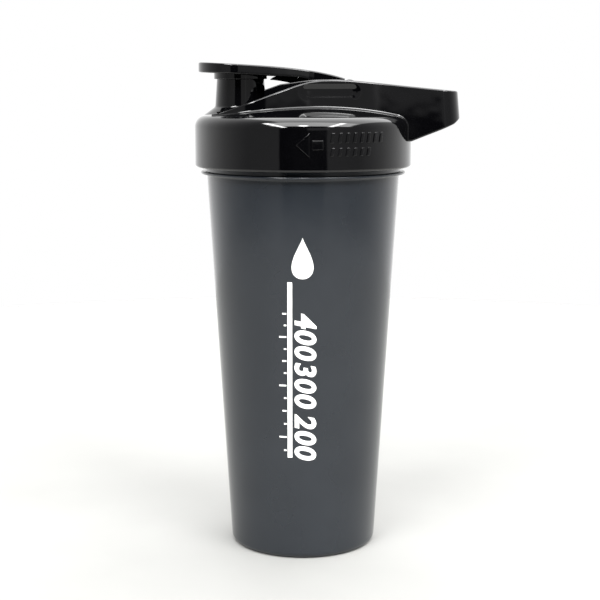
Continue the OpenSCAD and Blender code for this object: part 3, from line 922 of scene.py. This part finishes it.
def patch(x0, x1, z0, z1):
    """A flat mark in front of the cup, cut into strips of about a millimetre."""
    strips = max(2, round(abs(x1 - x0)) + 1)
    lengths = max(1, round((z1 - z0) / 4))
    bpy.ops.mesh.primitive_grid_add(x_subdivisions=strips, y_subdivisions=lengths, size=1)
    mark = bpy.context.object
    for vertex in mark.data.vertices:
        x, y, _ = vertex.co
        vertex.co = Vector((x0 + (x + 0.5) * (x1 - x0), 0, z0 + (y + 0.5) * (z1 - z0))) * MM
    return mark


figure_h = 9.4
figure_x = 1.0
figure_share = 0.73


def number(text, z):
    """Bold slanted figures that read down the cup, centred on a height."""
    bpy.ops.object.text_add()
    figures = bpy.context.object
    figures.data.body = text
    figures.data.size = figure_h * MM / figure_share
    figures.data.offset = 0.0004
    figures.data.shear = 0.2
    figures.data.space_character = 1.12
    figures.data.resolution_u = 6
    pick(figures)
    bpy.ops.object.convert(target="MESH")
    mark = bpy.context.object
    low = [min(v.co[k] for v in mark.data.vertices) for k in (0, 1)]
    high = [max(v.co[k] for v in mark.data.vertices) for k in (0, 1)]
    centre = [(a + b) / 2 for a, b in zip(low, high)]
    for vertex in mark.data.vertices:
        along, up = vertex.co[0] - centre[0], vertex.co[1] - centre[1]
        vertex.co = Vector((figure_x * MM + up, 0, z * MM - along))
    return mark


def drop(x, z, r, tall):
    """A water drop: a round bottom that narrows to a point."""
    outline = []
    steps = 48
    for i in range(steps):
        t = 2 * pi * i / steps
        narrow = sin(t / 2) ** 1.6
        outline.append((x + r * sin(t) * narrow, z + tall * (1 + cos(t)) / 2))
    return filled("drop", outline)


marks = [patch(bar_x0, bar_x1, scale_low, scale_high)]
for millilitres in (200, 300, 400):
    marks.append(number(str(millilitres), level(millilitres)))
    print(f"{millilitres} ml stands at {level(millilitres):.1f} mm")
tick_gap, tick_half_h = 0.5, 0.35
long_tick, middle_tick, short_tick = 3.2, 1.8, 1.1
for millilitres in range(150, 451, 25):
    tick = long_tick if millilitres % 100 == 0 else middle_tick if millilitres % 50 == 0 else short_tick
    z = level(millilitres)
    if scale_low + 0.5 < z < scale_high - 0.5:
        tick_x = bar_x0 - tick_gap
        marks.append(patch(tick_x - tick, tick_x, z - tick_half_h, z + tick_half_h))
drop_x, drop_z, drop_r, drop_h = -0.3, 131.5, 7.0, 18.5
marks.append(drop(drop_x, drop_z, drop_r, drop_h))

# %% Lay the ink on the cup
ink = joined(*marks)
ink.name = "measuring_scale"
sliced(ink, -13, 8)
for vertex in ink.data.vertices:
    x, _, z = vertex.co / MM
    vertex.co = Vector((x, -sqrt((cup_radius(z) + ink_out) ** 2 - x ** 2), z)) * MM
weld(ink)
front = sum(p.normal.y * p.area for p in ink.data.polygons)
if front > 0:
    open_edit(ink)
    bpy.ops.mesh.flip_normals()
    close_edit()
apply_modifier(ink, "SOLIDIFY", thickness=(ink_out + ink_in) * MM, offset=-1)
finished(ink, "cup_body", white_ink)

# %% [markdown]
# ## The raised marks on the skirt
# The front of the skirt has low raised marks in the same plastic. Here they are an arrow for the direction in
# which the lid tightens and two rows of short grip ribs. They stand a little less than half a millimetre
# proud, with rounded edges that catch the light of the room.

# %% Skirt marks
relief = 0.45
relief_sink = 0.03
rib_start, rib_step = 11.5, 3.5
rib_rows = [(8, 191.2, 195.6), (6, 185.6, 189.2)]


def rib(s, z0, z1, wide=1.5, slant=0.8):
    """A slanted rib, given along the skirt and up it, as every mark on the skirt is."""
    return [(s, z0), (s + wide, z0), (s + wide + slant, z1), (s + slant, z1)]


# The thread is right-handed, so at the front the lid tightens towards the left
arrow_tip, arrow_back, arrow_z, arrow_half_h = -3.2, 2.6, 190.4, 5.2
tail_start, tail_end, tail_low, tail_high = 3.8, 8.6, 188.4, 192.4
reliefs = [filled("arrow_head", [(arrow_tip, arrow_z), (arrow_back, arrow_z + arrow_half_h),
                                 (arrow_back, arrow_z - arrow_half_h)]),
           filled("arrow_tail", [(tail_start, tail_high), (tail_end, tail_high), (tail_end, tail_low),
                                 (tail_start, tail_low)])]
for count, low_z, high_z in rib_rows:
    for k in range(count):
        reliefs.append(filled("rib", rib(rib_start + rib_step * k, low_z, high_z)))
skirt_marks = joined(*reliefs)
skirt_marks.name = "skirt_marks"
open_edit(skirt_marks)
bpy.ops.mesh.normals_make_consistent(inside=False)
bpy.ops.mesh.extrude_region_move(TRANSFORM_OT_translate={"value": (0, -relief * MM, 0)})
close_edit()
weld(skirt_marks, 0.001)
bevel(skirt_marks, 0.32, 3, 50)
sliced(skirt_marks, -3, 41)
for vertex in skirt_marks.data.vertices:
    s, out, z = vertex.co / MM
    turn, r = s / lid_r, lid_r - relief_sink - out
    vertex.co = Vector((r * sin(turn), -r * cos(turn), z)) * MM
finished(skirt_marks, "lid_body", gloss_black)

# %% [markdown]
# ## The studio
# Black gloss shows nothing but what stands around it, so the studio is the finish. A bright cove stands
# behind and to the sides, and the room in front is dark. A strong softbox hangs in front and above, a weaker
# one hangs over the bottle, and a dim panel, two thin tubes and a small round lamp add the smaller lights.
# The sky of the scene carries all of these as soft-edged areas, so the bottle has no hard shadow. To the
# camera itself the sky is plain white.

# %% Sky
calculation = "ShaderNodeMath"
plus = {"operation": "ADD"}
minus = {"operation": "SUBTRACT"}
times = {"operation": "MULTIPLY"}
times_plus = {"operation": "MULTIPLY_ADD"}
over_by = {"operation": "DIVIDE"}
size_of = {"operation": "ABSOLUTE"}
angle_of = {"operation": "ARCTAN2"}


def band_mask(tree, value, low, high, soft):
    """1 between low and high, with soft edges."""
    rise_in = add_node(tree, "ShaderNodeMapRange", {"From Min": low - soft, "From Max": low + soft},
                       Value=value).outputs["Result"]
    fall = add_node(tree, "ShaderNodeMapRange", {"From Min": high - soft, "From Max": high + soft,
                                                 "To Min": 1.0, "To Max": 0.0}, Value=value).outputs["Result"]
    return add_node(tree, calculation, times, rise_in, fall).outputs[0]


sky = bpy.data.worlds.new("studio")
bpy.context.scene.world = sky
sky.use_nodes = True
tree = sky.node_tree
tree.nodes.clear()
direction = add_node(tree, "ShaderNodeTexCoord").outputs["Generated"]
part = add_node(tree, "ShaderNodeSeparateXYZ", Vector=direction)
forward = add_node(tree, calculation, times, part.outputs["Y"], -1.0).outputs[0]
turn_right = add_node(tree, calculation, angle_of, part.outputs["X"], forward).outputs[0]
bearing = add_node(tree, calculation, size_of, turn_right).outputs[0]
overhead = add_node(tree, calculation, angle_of, part.outputs["Z"], forward).outputs[0]
sideways = part.outputs["X"]

# Brightness of the walls by bearing from the front, in degrees: dark in front, then a cove that rises
wall_levels = [(0, 0.01), (24, 0.01), (25.5, 0.36), (60, 0.32), (74, 0.45), (90, 0.66), (108, 1.0),
               (130, 1.35), (180, 1.4)]
front_box_level = 8.0
roof_box_level = 3.6
front_box = (radians(36), radians(74))
roof_box = (radians(74), radians(138))
front_box_side = (-0.5, 0.72)
roof_box_side = (-0.3, 0.72)
box_soft_angle = radians(1.5)
box_soft_side = 0.03

bearing_share = add_node(tree, calculation, over_by, bearing, pi).outputs[0]
walls = add_node(tree, "ShaderNodeValToRGB", Fac=bearing_share)
for k, (degrees, value) in enumerate(wall_levels):
    stop = walls.color_ramp.elements[k] if k < 2 else walls.color_ramp.elements.new(degrees / 180)
    stop.position = degrees / 180
    stop.color = (value, value, value, 1)


def softbox(over, side, level):
    """A wide soft light between two angles overhead and two places from side to side."""
    mask = add_node(tree, calculation, times, band_mask(tree, overhead, *over, box_soft_angle),
                    band_mask(tree, sideways, *side, box_soft_side)).outputs[0]
    return add_node(tree, calculation, times, mask, level).outputs[0]


softboxes = add_node(tree, calculation, plus, softbox(front_box, front_box_side, front_box_level),
                     softbox(roof_box, roof_box_side, roof_box_level)).outputs[0]

# A dim panel in front, to the right of the camera, so that the handle's side isn't lost in black
panel_level = 0.34
panel_turn = (radians(4), radians(26))
panel_climb = (-0.022, 0.35)
panel_soft_angle = radians(0.6)
panel_soft_climb = 0.004
panel = add_node(tree, calculation, times, band_mask(tree, turn_right, *panel_turn, panel_soft_angle),
                 band_mask(tree, part.outputs["Z"], *panel_climb, panel_soft_climb)).outputs[0]
softboxes = add_node(tree, calculation, times_plus, panel, panel_level, softboxes).outputs[0]


def aim(bearing_degrees, climb_degrees):
    """The direction of a bearing from the front and a climb above the horizon."""
    b, c = radians(bearing_degrees), radians(climb_degrees)
    return Vector((sin(b) * cos(c), -cos(b) * cos(c), sin(c)))


def along(axis):
    """How far the sky's direction lies along an axis."""
    return add_node(tree, "ShaderNodeVectorMath", {"operation": "DOT_PRODUCT"}, direction,
                    axis).outputs["Value"]


tube_half_w = 0.045
tube_soft = 0.01


def tube(start, end, level):
    """A thin tube light between two directions."""
    middle, across = (start + end).normalized(), start.cross(end).normalized()
    reach = cos(start.angle(end) / 2)
    thin = band_mask(tree, along(across), -tube_half_w, tube_half_w, tube_soft)
    near = band_mask(tree, along(middle), reach, 2, tube_soft)
    mask = add_node(tree, calculation, times, thin, near).outputs[0]
    return add_node(tree, calculation, times, mask, level).outputs[0]


left_tube = tube(aim(-58, 55), aim(-20, 24), 30)
right_tube = tube(aim(62, 55), aim(30, 28), 24)
lamps = add_node(tree, calculation, plus, left_tube, right_tube).outputs[0]
spot_half_angle = radians(4.5)
spot_level = 40.0
spot = band_mask(tree, along(aim(0, 40)), cos(spot_half_angle), 2, 0.001)
lamps = add_node(tree, calculation, times_plus, spot, spot_level, lamps).outputs[0]
lit_walls = add_node(tree, calculation, plus, walls.outputs["Color"], lamps).outputs[0]
studio = add_node(tree, calculation, plus, softboxes, lit_walls).outputs[0]
seen = add_node(tree, "ShaderNodeLightPath").outputs["Is Camera Ray"]
unseen = add_node(tree, calculation, minus, 1.0, seen).outputs[0]
studio_unseen = add_node(tree, calculation, times, studio, unseen).outputs[0]
level_seen = add_node(tree, calculation, plus, studio_unseen, seen).outputs[0]
glow = add_node(tree, "ShaderNodeBackground", {"Color": (1.0, 1.0, 1.0, 1.0)}, Strength=level_seen)
add_node(tree, "ShaderNodeOutputWorld", Surface=glow.outputs["Background"])

# %% [markdown]
# The bottle stands on a plain pale table. It is a thick disc with a rounded edge, and its finish is a matt
# pale grey with a little variation, so that it stays quiet under the gloss.

# %% Table
table_r = 730
table_thick = 12
pale_grey = moulded("matt_pale_table", "#848482", "#888886", (0.7, 0.8), 60, 20, 0.02)
table = turned("table", softened([(0, -table_thick), (table_r, -table_thick, 4), (table_r, 0, 4), (0, 0)]),
               steps=128)
pick(table)
bpy.ops.object.shade_smooth_by_angle(angle=smooth_angle)
table.data.materials.append(pale_grey)

# %% [markdown]
# ## The camera
# A long lens looks slightly down at the bottle from the front, so that the dome shows and the cup's sides
# stay straight.

# %% Camera
camera_data = bpy.data.cameras.new("camera")
look_down = 9.22
camera_data.sensor_width = 36
camera_data.lens = 81.435
camera_data.clip_start = 0.01
camera = bpy.data.objects.new("camera", camera_data)
bpy.context.scene.collection.objects.link(camera)
camera.location = (-0.00142, -0.6323, 0.2181)
camera.rotation_euler = (radians(90 - look_down), 0, 0)
bpy.context.scene.camera = camera
bpy.context.scene.view_settings.view_transform = "Standard"

# %% [markdown]
# ## Last update
# The scene is brought up to date. The finished pieces keep the size of the mechanical model,
# because the looks must not change the bottle's size.

# %% Last update
bpy.context.view_layer.update()
